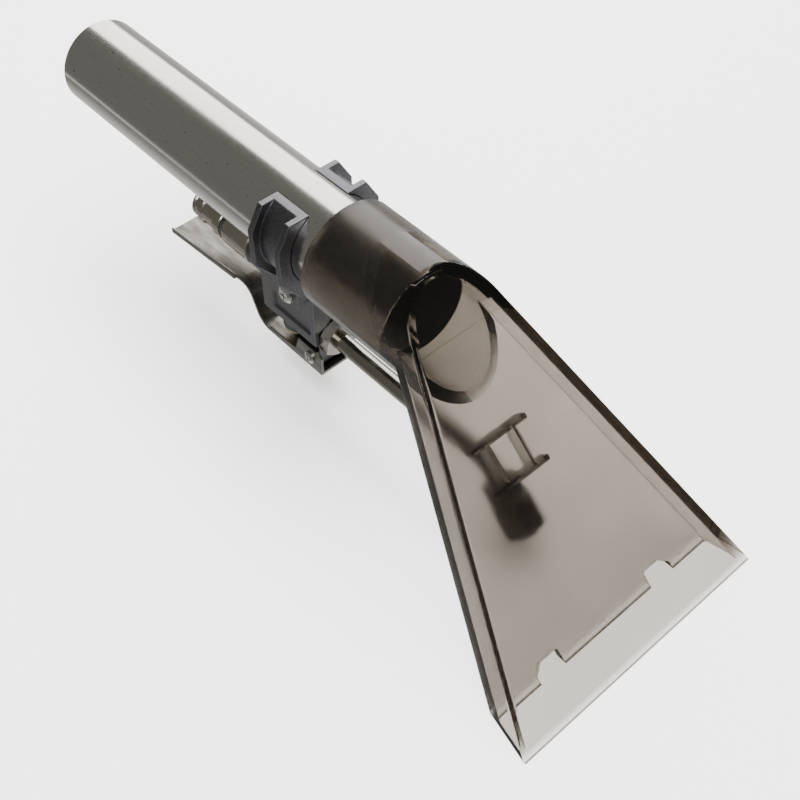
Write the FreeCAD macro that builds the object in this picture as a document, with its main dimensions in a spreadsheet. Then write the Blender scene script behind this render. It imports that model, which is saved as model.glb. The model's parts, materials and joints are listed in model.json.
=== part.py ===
"""Hand tool of a carpet cleaner: clear suction head, steel wand tube and trigger spray valve.

FreeCAD macro, millimetres.  +Z is up, the suction mouth rests on Z = 0 with its centre at the
origin, the wand tube runs towards +Y and +X is the right-hand side seen from the hose end.
"""

import FreeCAD, Part
import math
import os
import Sketcher
from FreeCAD import Placement, Rotation, Vector

doc = FreeCAD.newDocument("spray_hand_tool")
sheet = doc.addObject("Spreadsheet::Sheet", "dims")

X_AXIS = Vector(1, 0, 0)
Y_AXIS = Vector(0, 1, 0)
Z_AXIS = Vector(0, 0, 1)
FAR = 200.0  # longer than any piece that a cutting block has to clear

DIMENSIONS = [
    # wand tube
    ("tube_od", 38.1, "outside diameter of the wand tube"),
    ("tube_wall", 1.25, "wall of the wand tube"),
    ("axis_height", 87, "height of the tube's axis over the mouth"),
    ("tube_front", 107.6, "front end of the tube, inside the head"),
    ("tube_rear", 311.7, "open end of the tube, for the vacuum hose"),
    ("seat_step", 0.25, "how far the tube's clamped stretch is turned down"),
    # suction head
    ("cuff_radius", 22.6, "outside radius of the head's cuff"),
    ("cuff_rear", 149.4, "rear rim of the cuff"),
    ("shell_wall", 3, "wall of the head"),
    ("throat_radius", 17.4, "radius of the passage ahead of the tube"),
    ("plate_angle", 43, "slope of the two head plates"),
    ("mouth_half_depth", 11, "half of the mouth, front to back, over the plates"),
    ("mouth_half_width", 61.8, "half of the mouth, side to side, over the walls"),
    ("side_turn", 67.25, "angle round the cuff where the fan's sides leave it"),
    ("fit_gap", 0.05, "radial gap of a glued or clamped fit"),
    # saddle clamp
    ("saddle_front", 158.9, "front face of the saddle"),
    ("saddle_rear", 177.4, "rear face of the saddle"),
    ("saddle_flange", 2.9, "thickness of the saddle's two flanges"),
    ("saddle_web_radius", 21.3, "outside radius of the web between the flanges"),
    ("saddle_top", 17, "flat top of the horns, over the tube's axis"),
    ("horn_inside", 9, "half of the gap between the horns"),
    ("saddle_bottom", 21.7, "underside of the saddle, below the tube's axis"),
    ("lug_outside", 15.2, "outer face of the clamping lugs"),
    ("lug_bottom", 58, "lower end of the clamping lugs"),
    ("clamp_screw_y", 168.4, "clamp screw, distance along the tool"),
    ("clamp_screw_z", 61.9, "clamp screw, height"),
    # valve
    ("valve_front", 160.9, "front face of the valve block"),
    ("valve_back", 194.4, "rear face of the valve block"),
    ("valve_half", 9.3, "half width of the valve block"),
    ("valve_bottom", 32.5, "underside of the valve block"),
    ("stem_y", 182.4, "axis of the valve stem"),
    ("stem_radius", 2, "radius of the valve stem"),
    ("inlet_z", 51.5, "height of the inlet's axis"),
    ("outlet_z", 34.4, "height of the outlet's axis"),
    ("seat_z", 40, "height of the valve seat"),
    ("gland_bottom", 24, "lower face of the stem gland"),
    ("plug_bottom", 57, "lower face of the top plug"),
    ("chamber_radius", 6, "radius of the valve's upper chamber"),
    # trigger
    ("pivot_y", 164.9, "trigger pivot, distance along the tool"),
    ("pivot_z", 24, "trigger pivot, height"),
    ("pivot_radius", 2, "radius of the pivot screw"),
    ("steel", 1.5, "thickness of the trigger's sheet"),
    ("trigger_floor", 17.8, "underside of the trigger at the valve"),
    ("trigger_front", 158.2, "front end of the trigger and its ears"),
    ("trigger_end", 259.4, "rear end of the trigger"),
    ("ear_inside", 7.8, "half of the gap between the trigger's ears"),
    # water line to the jet
    ("line_od", 7.94, "outside diameter of the spray tube"),
    ("line_wall", 0.8, "wall of the spray tube"),
    ("line_bend_y", 74.1, "corner of the spray tube, distance along the tool"),
    ("line_bend_radius", 12, "bend radius of the spray tube"),
    ("nut_flats", 14.3, "across flats of the compression nuts"),
    ("outlet_nut_length", 4.9, "length of the nut on the valve's outlet"),
    ("jet_nut_length", 7.5, "length of the nut on the jet"),
    ("jet_flats", 16, "across flats of the jet body"),
    # inlet coupling
    ("adaptor_radius", 8.25, "radius of the inlet adaptor"),
    ("adaptor_rear", 222.9, "rear face of the inlet adaptor"),
    ("coupler_rear", 245.4, "rear end of the quick-connect plug"),
    ("coupler_radius", 7, "radius of the quick-connect plug's barrel"),
]

for row, (alias, value, meaning) in enumerate(DIMENSIONS, start=1):
    sheet.set(f"A{row}", meaning)
    sheet.set(f"B{row}", str(value))
    sheet.setAlias(f"B{row}", alias)
doc.recompute()


# ---------------------------------------------------------------- sizes tied to the sheet


class Size:
    """A number together with the sheet expression that gives it."""

    def __init__(self, value, text):
        self.value = value
        self.text = text

    def __add__(self, other):
        other = size(other)
        return Size(self.value + other.value, f"({self.text} + {other.text})")

    def __sub__(self, other):
        other = size(other)
        return Size(self.value - other.value, f"({self.text} - {other.text})")

    def __mul__(self, other):
        other = size(other)
        return Size(self.value * other.value, f"{self.text} * {other.text}")

    def __truediv__(self, other):
        other = size(other)
        return Size(self.value / other.value, f"{self.text} / {other.text}")

    def __neg__(self):
        return Size(-self.value, f"(0 - {self.text})")

    def __radd__(self, other):
        return size(other) + self

    def __rsub__(self, other):
        return size(other) - self

    def __rmul__(self, other):
        return size(other) * self


def size(number):
    """A Size, made from a Size or from a plain number."""
    if isinstance(number, Size):
        return number
    return Size(float(number), f"({float(number)})")


def trig(name, function, angle):
    """A trigonometric function of an angle in degrees, as a Size."""
    return Size(function(math.radians(angle.value)), f"{name}({angle.text})")


D = {alias: Size(float(value), f"dims.{alias}") for alias, value, _ in DIMENSIONS}
SLOPE_SIN = trig("sin", math.sin, D["plate_angle"])
SLOPE_COS = trig("cos", math.cos, D["plate_angle"])
SLOPE_TAN = trig("tan", math.tan, D["plate_angle"])


def bind(thing, **sizes):
    """Set properties of an object and tie each one to the sheet."""
    for name, number in sizes.items():
        number = size(number)
        setattr(thing, name, number.value)
        thing.setExpression(name, number.text)


def place(thing, x=0, y=0, z=0, axis=X_AXIS, angle=0.0, spin=0.0):
    """Put an object at a point of the sheet, spun about its own z axis, then turned about an axis."""
    angle = size(angle)
    x, y, z = size(x), size(y), size(z)
    turn = Rotation(axis, angle.value) * Rotation(Z_AXIS, spin)
    thing.Placement = Placement(Vector(x.value, y.value, z.value), turn)
    thing.setExpression("Placement.Base.x", x.text)
    thing.setExpression("Placement.Base.y", y.text)
    thing.setExpression("Placement.Base.z", z.text)
    return thing


# ---------------------------------------------------------------- solids and booleans


def box(label, xs, ys, zs):
    """A block between two values on each axis."""
    block = doc.addObject("Part::Box", label)
    xs, ys, zs = [[size(end) for end in pair] for pair in (xs, ys, zs)]
    bind(block, Length=xs[1] - xs[0], Width=ys[1] - ys[0], Height=zs[1] - zs[0])
    return place(block, xs[0], ys[0], zs[0])


def slanted_box(label, xs, ys, zs):
    """A block in the plates' frame: y up the slope, z out through the front window."""
    block = doc.addObject("Part::Box", label)
    xs, ys, zs = [[size(end) for end in pair] for pair in (xs, ys, zs)]
    bind(block, Length=xs[1] - xs[0], Width=ys[1] - ys[0], Height=zs[1] - zs[0])
    rise = ys[0] * SLOPE_SIN + zs[0] * SLOPE_COS
    run = ys[0] * SLOPE_COS - zs[0] * SLOPE_SIN
    return place(block, xs[0], run, rise, X_AXIS, D["plate_angle"])


def rod_y(label, radius, y_start, y_end, z, x=0):
    """A cylinder along the tool."""
    rod = doc.addObject("Part::Cylinder", label)
    bind(rod, Radius=radius, Height=size(y_end) - y_start)
    return place(rod, x, y_start, z, X_AXIS, -90)


def rod_x(label, radius, x_start, x_end, y, z):
    """A cylinder across the tool."""
    rod = doc.addObject("Part::Cylinder", label)
    bind(rod, Radius=radius, Height=size(x_end) - x_start)
    return place(rod, x_start, y, z, Y_AXIS, 90)


def rod_z(label, radius, z_start, z_end, y):
    """An upright cylinder on the tool's middle plane."""
    rod = doc.addObject("Part::Cylinder", label)
    bind(rod, Radius=radius, Height=size(z_end) - z_start)
    return place(rod, 0, y, z_start)


def ring(label, major, minor, x=0, y=0, z=0, axis=X_AXIS, angle=0):
    """An O-ring."""
    torus = doc.addObject("Part::Torus", label)
    bind(torus, Radius1=major, Radius2=minor)
    return place(torus, x, y, z, axis, angle)


def hexagon(label, flats, length, x=0, y=0, z=0, axis=X_AXIS, angle=0, spin=0):
    """A hexagonal bar with rounded-off corners at both ends, spun about its own axis."""
    bar = doc.addObject("Part::Prism", f"{label}_bar")
    bar.Polygon = 6
    bind(bar, Circumradius=size(flats) / math.sqrt(3), Height=length)
    place(bar, x, y, z, axis, angle, spin)
    turning = turned(f"{label}_turning", [
        (0, 0),
        (size(flats) * 0.49, 0),
        (size(flats) * 0.58, size(flats) * 0.06),
        (size(flats) * 0.58, size(length) - size(flats) * 0.06),
        (size(flats) * 0.49, length),
        (0, length),
    ], x, y, z, axis, angle)
    return common(label, bar, turning)


def cut(label, base, *tools):
    """The base with every tool taken away."""
    result = doc.addObject("Part::Cut", label)
    result.Base = base
    result.Tool = tools[0] if len(tools) == 1 else fuse(f"{label}_tools", *tools)
    return result


def fuse(label, *pieces):
    """All the pieces as one."""
    result = doc.addObject("Part::MultiFuse", label)
    result.Shapes = list(pieces)
    result.Refine = True
    return result


def common(label, first, second):
    """What two pieces share."""
    result = doc.addObject("Part::Common", label)
    result.Base = first
    result.Tool = second
    return result


# ---------------------------------------------------------------- sketches and bodies


def sketch_on(body, role, name):
    """A sketch on one of the body's own origin planes."""
    sketch = body.newObject("Sketcher::SketchObject", name)
    plane = [item for item in body.Origin.OriginFeatures if item.Role == role][0]
    sketch.AttachmentSupport = [(plane, "")]
    sketch.MapMode = "FlatFace"
    return sketch


def pin_point(sketch, geometry, vertex, x, y):
    """Hold one point of a sketch at a place given by the sheet."""
    for kind, number in (("DistanceX", size(x)), ("DistanceY", size(y))):
        index = sketch.addConstraint(
            Sketcher.Constraint(kind, -1, 1, geometry, vertex, number.value))
        sketch.setExpression(f"Constraints[{index}]", number.text)


def add_outline(sketch, corners):
    """A closed outline with a straight line between each corner and the next."""
    corners = [(size(x), size(y)) for x, y in corners]
    points = [Vector(x.value, y.value, 0) for x, y in corners]
    first = sketch.GeometryCount
    for start, end in zip(points, points[1:] + points[:1]):
        sketch.addGeometry(Part.LineSegment(start, end), False)
    for number, (x, y) in enumerate(corners):
        line = first + number
        following = first + (number + 1) % len(corners)
        sketch.addConstraint(Sketcher.Constraint("Coincident", line, 2, following, 1))
        pin_point(sketch, line, 1, x, y)


def add_circle(sketch, x, y, radius):
    """A circle whose centre and radius follow the sheet."""
    radius = size(radius)
    centre = Vector(size(x).value, size(y).value, 0)
    circle = sketch.addGeometry(Part.Circle(centre, Vector(0, 0, 1), radius.value), False)
    pin_point(sketch, circle, 3, x, y)
    index = sketch.addConstraint(Sketcher.Constraint("Radius", circle, radius.value))
    sketch.setExpression(f"Constraints[{index}]", radius.text)


def add_bent_path(sketch, corners, radius):
    """Straight runs joined by arcs of one radius; the corners follow the sheet."""
    corners = [(size(x), size(y)) for x, y in corners]
    points = [Vector(x.value, y.value, 0) for x, y in corners]
    radius = size(radius)
    starts = [points[0]]
    arcs = []
    for before, corner, after in zip(points, points[1:], points[2:]):
        inward = (before - corner).normalize()
        outward = (after - corner).normalize()
        half = inward.getAngle(outward) / 2
        reach = radius.value / math.tan(half)
        centre = corner + (inward + outward).normalize() * (radius.value / math.sin(half))
        middle = centre + (corner - centre).normalize() * radius.value
        arcs.append(Part.Arc(corner + inward * reach, middle, corner + outward * reach))
        starts.append(corner + outward * reach)
    ends = [arc.value(arc.FirstParameter) for arc in arcs] + [points[-1]]
    lines = []
    for start, end in zip(starts, ends):
        lines.append(sketch.addGeometry(Part.LineSegment(start, end), False))
    for number, arc in enumerate(arcs):
        bend = sketch.addGeometry(arc, False)
        at_start, at_end = end_order(sketch, bend, ends[number])
        sketch.addConstraint(Sketcher.Constraint("Tangent", lines[number], 2, bend, at_start))
        sketch.addConstraint(Sketcher.Constraint("Tangent", lines[number + 1], 1, bend, at_end))
        index = sketch.addConstraint(Sketcher.Constraint("Radius", bend, radius.value))
        sketch.setExpression(f"Constraints[{index}]", radius.text)
        mark = sketch.addGeometry(Part.Point(points[number + 1]), True)
        sketch.addConstraint(Sketcher.Constraint("PointOnObject", mark, 1, lines[number]))
        sketch.addConstraint(Sketcher.Constraint("PointOnObject", mark, 1, lines[number + 1]))
        pin_point(sketch, mark, 1, *corners[number + 1])
    pin_point(sketch, lines[0], 1, *corners[0])
    pin_point(sketch, lines[-1], 2, *corners[-1])


def end_order(sketch, arc, point):
    """Which end of a sketch arc is at the point, and then the other one."""
    if (sketch.getPoint(arc, 1) - point).Length < (sketch.getPoint(arc, 2) - point).Length:
        return 1, 2
    return 2, 1


def padded(label, role, outlines, thickness, circles=()):
    """A body made by one pad, its middle on the sketch's plane."""
    body = doc.addObject("PartDesign::Body", label)
    sketch = sketch_on(body, role, f"{label}_sketch")
    for outline in outlines:
        add_outline(sketch, outline)
    for circle in circles:
        add_circle(sketch, *circle)
    pad = body.newObject("PartDesign::Pad", f"{label}_pad")
    pad.Profile = sketch
    pad.SideType = "Symmetric"
    bind(pad, Length=thickness)
    return body


def turned(label, profile, x=0, y=0, z=0, axis=X_AXIS, angle=0):
    """A body of revolution; the profile gives (radius, distance along the axis)."""
    body = doc.addObject("PartDesign::Body", label)
    sketch = sketch_on(body, "XZ_Plane", f"{label}_profile")
    add_outline(sketch, profile)
    spin = body.newObject("PartDesign::Revolution", f"{label}_turn")
    spin.Profile = sketch
    spin.ReferenceAxis = (sketch, ["V_Axis"])
    spin.Angle = 360
    place(body, x, y, z, axis, angle)
    return body


def piped(label, role, path, radius, section_role, outline=None, circles=()):
    """A body swept along a bent path that starts at the body's origin."""
    body = doc.addObject("PartDesign::Body", label)
    spine = sketch_on(body, role, f"{label}_path")
    add_bent_path(spine, path, radius)
    section = sketch_on(body, section_role, f"{label}_section")
    if outline:
        add_outline(section, outline)
    for circle in circles:
        add_circle(section, 0, 0, circle)
    doc.recompute()
    pipe = body.newObject("PartDesign::AdditivePipe", f"{label}_pipe")
    pipe.Profile = section
    pipe.Spine = spine
    return body


def cross_slot(label, x, y, z, reach, width):
    """The cutter of a cross recess in a screw head that faces -X."""
    depth = width * 1.3
    flat = box(f"{label}_flat", (x, x + depth), (y - reach, y + reach), (z - width / 2, z + width / 2))
    tall = box(f"{label}_tall", (x, x + depth), (y - width / 2, y + width / 2), (z - reach, z + reach))
    return fuse(label, flat, tall)


# ---------------------------------------------------------------- suction head

TUBE_RADIUS = D["tube_od"] / 2
BORE_RADIUS = TUBE_RADIUS - D["tube_wall"]
SEAT_RADIUS = TUBE_RADIUS - D["seat_step"]
HALF_SLAB = D["mouth_half_depth"] * SLOPE_SIN
INNER_SLAB = HALF_SLAB - D["shell_wall"]
LIP_Y = D["mouth_half_depth"] * SLOPE_COS  # up the slope, where the plates meet Z = 0
AXIS_ON_WINDOW = D["axis_height"] / SLOPE_SIN - LIP_Y
SIDE_TOP_Y = AXIS_ON_WINDOW + D["cuff_radius"] / SLOPE_SIN * trig("cos", math.cos, D["side_turn"])
SIDE_TOP_X = D["cuff_radius"] * trig("sin", math.sin, D["side_turn"])
SIDE_SLOPE = (D["mouth_half_width"] - SIDE_TOP_X) / (SIDE_TOP_Y + LIP_Y)
FAN_FOOT = -40.0  # the fan's pads run on below the mouth and are cut off at Z = 0
REAR_TOP_Y = (D["axis_height"] - D["cuff_radius"]) / SLOPE_SIN + LIP_Y


def fan_pad(label, inset, thickness):
    """The fan between its two plates: a trapezium across the slope."""
    top_x = SIDE_TOP_X - inset
    foot_x = top_x + SIDE_SLOPE * (SIDE_TOP_Y - FAN_FOOT)
    outline = [
        (-foot_x, FAN_FOOT),
        (foot_x, FAN_FOOT),
        (top_x, SIDE_TOP_Y),
        (-top_x, SIDE_TOP_Y),
    ]
    fan = padded(label, "XY_Plane", [outline], thickness)
    return place(fan, angle=D["plate_angle"])


def rib_frame():
    """The H-shaped ribs under the rear plate: two bars joined by two short webs."""
    bar_half, bar_thick, web_half, web_thick = 13.4, 2.2, 6.75, 1.8
    high_bar = REAR_TOP_Y - 15.2
    low_bar = REAR_TOP_Y - 32.9
    span_z = (-HALF_SLAB - 6.0, -HALF_SLAB + 0.5)
    ribs = []
    for name, middle in (("high", high_bar), ("low", low_bar)):
        span_y = (middle - bar_thick / 2, middle + bar_thick / 2)
        ribs.append(slanted_box(f"rib_bar_{name}", (-bar_half, bar_half), span_y, span_z))
    for name, middle in (("left", -web_half), ("right", web_half)):
        span_x = (middle - web_thick / 2, middle + web_thick / 2)
        ribs.append(slanted_box(f"rib_web_{name}", span_x, (low_bar, high_bar), span_z))
    return ribs


def lip_notches():
    """Cutters of the two shallow notches in the rear plate's lip."""
    inner, outer, depth, run_out = 23.0, 36.0, 3.6, 4.0
    cutters = []
    for name, side in (("left", -1), ("right", 1)):
        outline = [
            (side * inner, LIP_Y - FAR / 10),
            (side * inner, LIP_Y + depth),
            (side * (outer - run_out), LIP_Y + depth),
            (side * outer, LIP_Y),
            (side * outer, LIP_Y - FAR / 10),
        ]
        notch = padded(f"lip_notch_{name}", "XY_Plane", [outline], D["shell_wall"] * 2)
        drop = -HALF_SLAB
        place(notch, 0, -drop * SLOPE_SIN, drop * SLOPE_COS, X_AXIS, D["plate_angle"])
        cutters.append(notch)
    return cutters


def suction_head():
    """The clear head: a shell with cuff, rear plate and sides, and the front window on it."""
    cuff_start = 50.0
    cuff = rod_y("cuff", D["cuff_radius"], cuff_start, D["cuff_rear"], D["axis_height"])
    fan = fan_pad("fan", 0, HALF_SLAB * 2)
    over_window = slanted_box("over_window", (-FAR, FAR), (-FAR, FAR * 2), (HALF_SLAB, FAR))
    below_mouth = box("below_mouth", (-FAR, FAR), (-FAR, FAR), (-FAR, 0))
    outside = cut("head_outside", fuse("head_mass", cuff, fan), over_window, below_mouth)

    side_inset = size(3.12)  # the wall, measured across the slope of the sides
    fan_hollow = fan_pad("fan_hollow", side_inset, INNER_SLAB * 2)
    throat = rod_y("throat", D["throat_radius"], cuff_start, D["tube_front"] + 1, D["axis_height"])
    socket = rod_y("socket", SEAT_RADIUS + D["fit_gap"], D["tube_front"], D["cuff_rear"] + 1,
                   D["axis_height"])
    window_zone = slanted_box("window_zone", (-FAR, FAR), (-FAR, FAR * 2), (INNER_SLAB, FAR))
    walls = cut("head_walls", outside, fan_hollow, throat, socket, window_zone)
    cut("head_shell", fuse("head_ribbed", walls, *rib_frame()), *lip_notches())
    common("front_window", outside, window_zone)


def vacuum_tube():
    """The wand tube, turned down a little where the head and the saddle grip it."""
    seat_end = D["saddle_rear"] + 1
    turned("vacuum_tube", [
        (BORE_RADIUS, 0),
        (SEAT_RADIUS, 0),
        (SEAT_RADIUS, seat_end - D["tube_front"]),
        (TUBE_RADIUS, seat_end - D["tube_front"]),
        (TUBE_RADIUS, D["tube_rear"] - D["tube_front"]),
        (BORE_RADIUS, D["tube_rear"] - D["tube_front"]),
    ], 0, D["tube_front"], D["axis_height"], X_AXIS, -90)


# ---------------------------------------------------------------- saddle clamp


def saddle_flange(name, middle_y):
    """One eight-sided flange round the tube."""
    top, bottom = D["saddle_top"], -D["saddle_bottom"]
    right = [(18.5, top), (24.3, 7.0), (24.3, -9.5), (14.3, bottom)]
    left = [(-x, z) for x, z in reversed(right)]
    flange = padded(f"saddle_flange_{name}", "XZ_Plane", [right + left], D["saddle_flange"])
    return place(flange, 0, middle_y, D["axis_height"])


def saddle_clamp():
    """The die-cast saddle: two flanges on a web, open at the top, with two lugs below."""
    axis_z = D["axis_height"]
    half_flange = D["saddle_flange"] / 2
    front = saddle_flange("front", D["saddle_front"] + half_flange)
    rear = saddle_flange("rear", D["saddle_rear"] - half_flange)
    web = rod_y("saddle_web", D["saddle_web_radius"], D["saddle_front"], D["saddle_rear"], axis_z)
    lug_top = axis_z - 14
    lugs = []
    for name, span in (("left", (-D["lug_outside"], -D["valve_half"])),
                       ("right", (D["valve_half"], D["lug_outside"]))):
        lugs.append(box(f"saddle_lug_{name}", span,
                        (D["clamp_screw_y"] - 6, D["clamp_screw_y"] + 6),
                        (D["lug_bottom"], lug_top)))
    mass = fuse("saddle_mass", front, rear, web, *lugs)
    bore = rod_y("saddle_bore", SEAT_RADIUS + D["fit_gap"], D["saddle_front"] - 1,
                 D["saddle_rear"] + 1, axis_z)
    across = (D["saddle_front"] - 1, D["saddle_rear"] + 1)
    mouth = box("saddle_mouth", (-D["horn_inside"], D["horn_inside"]), across,
                (axis_z, axis_z + FAR / 4))
    over_top = box("saddle_over_top", (-FAR / 4, FAR / 4), across,
                   (axis_z + D["saddle_top"], axis_z + FAR / 4))
    hole = rod_x("saddle_screw_hole", 2.1, -FAR / 4, FAR / 4,
                 D["clamp_screw_y"], D["clamp_screw_z"])
    cut("saddle_clamp", mass, bore, mouth, over_top, hole)


def saddle_fasteners():
    """The clamp screw through the lugs and its nut."""
    y, z = D["clamp_screw_y"], D["clamp_screw_z"]
    head, lug, end = 2.2, D["lug_outside"], D["lug_outside"] + 3.6
    screw = turned("saddle_screw_turning", [
        (0, 0),
        (2.7, 0),
        (3.7, 0.9),
        (3.7, head),
        (2.0, head),
        (2.0, lug + end + head),
        (0, lug + end + head),
    ], -lug - head, y, z, Y_AXIS, 90)
    cut("saddle_screw", screw, cross_slot("saddle_screw_recess", -lug - head, y, z, 2.4, 0.9))
    nut = hexagon("saddle_nut_blank", 7.0, 3.0, lug, y, z, Y_AXIS, 90)
    cut("saddle_nut", nut, rod_x("saddle_nut_hole", 2.0, lug - 1, lug + 4, y, z))


# ---------------------------------------------------------------- valve


def valve_body():
    """The valve block with its pivot block, gland boss and inlet boss, and all its bores."""
    half, stem_y = D["valve_half"], D["stem_y"]
    top = D["axis_height"] - D["saddle_bottom"]
    front, back, bottom = D["valve_front"], D["valve_back"], D["valve_bottom"]
    block = box("valve_block", (-half, half), (front, back), (bottom, top))
    pivot_block = box("pivot_block", (-7.5, 7.5), (front, front + 10), (20.8, bottom + 1))
    boss = rod_z("gland_boss", 7.3, D["gland_bottom"] + 1.5, bottom + 1, stem_y)
    inlet_boss = rod_y("inlet_boss", 8.0, back - 1, back + 12, D["inlet_z"])
    mass = fuse("valve_mass", block, pivot_block, boss, inlet_boss)
    cutters = [
        rod_z("upper_chamber", D["chamber_radius"], D["seat_z"], top + 1, stem_y),
        rod_z("seat_hole", 3.3, D["seat_z"] - 4, D["seat_z"] + 1, stem_y),
        rod_z("lower_chamber", 4.8, 29.5, D["seat_z"] - 2.5, stem_y),
        rod_z("gland_bore", 5.5, 19.5, 30.5, stem_y),
        rod_y("outlet_bore", 2.2, front - 1, stem_y, D["outlet_z"]),
        rod_y("outlet_thread", 3.6, front - 1, front + 6.5, D["outlet_z"]),
        rod_y("inlet_bore", 3.2, stem_y, back + 13, D["inlet_z"]),
        rod_y("inlet_thread", 5.0, back + 5, back + 13, D["inlet_z"]),
        rod_x("pivot_bore", D["pivot_radius"] + 0.06, -FAR / 4, FAR / 4,
              D["pivot_y"], D["pivot_z"]),
        rod_x("rail_hole", 2.1, -FAR / 4, FAR / 4, D["clamp_screw_y"], D["clamp_screw_z"]),
    ]
    for name, side in (("left", -1), ("right", 1)):
        depth = (half * side, (half - 0.8) * side)
        cutters.append(box(f"valve_panel_{name}", (min_size(depth), max_size(depth)),
                           (front + 3, back - 7), (bottom + 5, bottom + 14)))
    cut("valve_body", mass, *cutters)


def min_size(pair):
    """The smaller of two sizes."""
    return min((size(item) for item in pair), key=lambda item: item.value)


def max_size(pair):
    """The larger of two sizes."""
    return max((size(item) for item in pair), key=lambda item: item.value)


def valve_closures():
    """The top plug and the stem gland, each with its O-ring."""
    stem_y, bore = D["stem_y"], D["chamber_radius"] - 0.03
    groove_low, groove_high, groove = 2.0, 3.8, 4.2
    height = D["axis_height"] - D["saddle_bottom"] - 0.5 - D["plug_bottom"]
    plug = turned("top_plug_turning", [
        (0, 0),
        (bore, 0),
        (bore, groove_low),
        (groove, groove_low),
        (groove, groove_high),
        (bore, groove_high),
        (bore, height),
        (0, height),
    ], 0, stem_y, D["plug_bottom"])
    slot_z = (D["plug_bottom"] + height - 1.4, D["plug_bottom"] + height + 1)
    slot = box("top_plug_slot", (-0.8, 0.8), (stem_y - 8, stem_y + 8), slot_z)
    cut("valve_top_plug", plug, slot)
    ring("top_plug_o_ring", 5.08, 0.87, 0, stem_y, D["plug_bottom"] + 2.9)

    gland_bore = D["stem_radius"] + 0.08
    turned("stem_gland", [
        (gland_bore, 0),
        (6.4, 0),
        (7.0, 0.6),
        (7.0, 1.45),
        (5.45, 1.45),
        (5.45, 6.3),
        (4.0, 6.3),
        (4.0, 4.4),
        (gland_bore, 4.4),
    ], 0, stem_y, D["gland_bottom"])
    ring("stem_o_ring", 3.02, 0.93, 0, stem_y, D["gland_bottom"] + 5.35)


def valve_moving_parts():
    """The plunger with its button, and the poppet with its seal, which lift together."""
    stem_y, stem = D["stem_y"], D["stem_radius"]
    button_low = 19.65
    turned("valve_plunger", [
        (0, 0),
        (1.6, 0.2),
        (3.0, 0.9),
        (3.2, 1.3),
        (3.2, 1.9),
        (stem, 2.1),
        (stem, 23.6),
        (0, 23.6),
    ], 0, stem_y, button_low)
    washer_low = D["seat_z"] + 0.06
    washer_high = D["seat_z"] + 1.6
    turned("poppet_seal", [
        (stem, 0),
        (4.7, 0),
        (4.7, washer_high - washer_low),
        (stem, washer_high - washer_low),
    ], 0, stem_y, washer_low)
    turned("valve_poppet", [
        (stem, 0),
        (4.9, 0),
        (4.9, 2.2),
        (3.5, 2.2),
        (3.5, 3.8),
        (0, 3.8),
        (0, 1.65),
        (stem, 1.65),
    ], 0, stem_y, washer_high)


def valve_spring():
    """The closing spring between the poppet and the top plug."""
    wire, mean = 0.45, 4.2
    foot = D["seat_z"] + 1.6 + 2.2 + wire
    head = D["plug_bottom"] - wire
    coil = doc.addObject("Part::Helix", "spring_coil")
    bind(coil, Radius=mean, Height=head - foot, Pitch=(head - foot) / 5.5)
    place(coil, 0, D["stem_y"], foot)
    section = doc.addObject("Part::Circle", "spring_wire")
    bind(section, Radius=wire)
    place(section, mean, D["stem_y"], foot, X_AXIS, 90)
    spring = doc.addObject("Part::Sweep", "valve_spring")
    spring.Sections = [section]
    spring.Spine = (coil, [])
    spring.Solid = True
    spring.Frenet = True


# ---------------------------------------------------------------- trigger


def trigger_lever():
    """The bent sheet-steel trigger: floor, S-bend and handle, with ears at the pivot."""
    floor_mid = D["trigger_floor"] + D["steel"] / 2
    floor_front = D["trigger_front"]
    knee_y, shoulder_y, shoulder_z, end_z = 197.9, 205.4, 35.5, 30.6
    width = (D["ear_inside"] + D["steel"]) * 2
    half_steel = D["steel"] / 2
    path = [
        (0, 0),
        (knee_y - floor_front, 0),
        (shoulder_y - floor_front, shoulder_z - floor_mid),
        (D["trigger_end"] - floor_front, end_z - floor_mid),
    ]
    strip = piped("trigger_strip", "YZ_Plane", path, 8.0, "XZ_Plane", [
        (-width / 2, -half_steel),
        (width / 2, -half_steel),
        (width / 2, half_steel),
        (-width / 2, half_steel),
    ])
    place(strip, 0, floor_front, floor_mid)

    handle_half, lip = 10.5, 1.0
    handle_start = shoulder_y + 8
    droop = math.degrees(math.atan2(shoulder_z - end_z, D["trigger_end"].value - shoulder_y))
    start_z = shoulder_z - math.tan(math.radians(droop)) * 8
    handle = padded("trigger_handle", "XZ_Plane", [[
        (-handle_half, -half_steel),
        (handle_half, -half_steel),
        (handle_half, half_steel + lip),
        (handle_half - 0.9, half_steel + lip),
        (handle_half - 1.6, half_steel),
        (-handle_half + 1.6, half_steel),
        (-handle_half + 0.9, half_steel + lip),
        (-handle_half, half_steel + lip),
    ]], (D["trigger_end"] - handle_start) * (1 / math.cos(math.radians(droop))))
    middle_y = (D["trigger_end"] + handle_start) / 2
    middle_z = (size(end_z) + start_z) / 2
    place(handle, 0, middle_y, middle_z, X_AXIS, -droop)

    ears = []
    for name, side in (("left", -1), ("right", 1)):
        ear = padded(f"trigger_ear_{name}", "YZ_Plane", [[
            (floor_front, D["trigger_floor"]),
            (knee_y - 3, D["trigger_floor"]),
            (knee_y - 6, D["trigger_floor"] + 2.6),
            (D["pivot_y"] + 10, D["trigger_floor"] + 4.0),
            (D["pivot_y"] + 7.5, D["pivot_z"] + 5.5),
            (D["pivot_y"] - 4, D["pivot_z"] + 5.5),
            (floor_front, D["pivot_z"] + 3),
        ]], D["steel"])
        ears.append(place(ear, (D["ear_inside"] + D["steel"] / 2) * side))
    holes = rod_x("ear_holes", D["pivot_radius"], -FAR / 4, FAR / 4, D["pivot_y"], D["pivot_z"])
    cut("trigger_lever", fuse("trigger_mass", strip, handle, *ears), holes)


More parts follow.
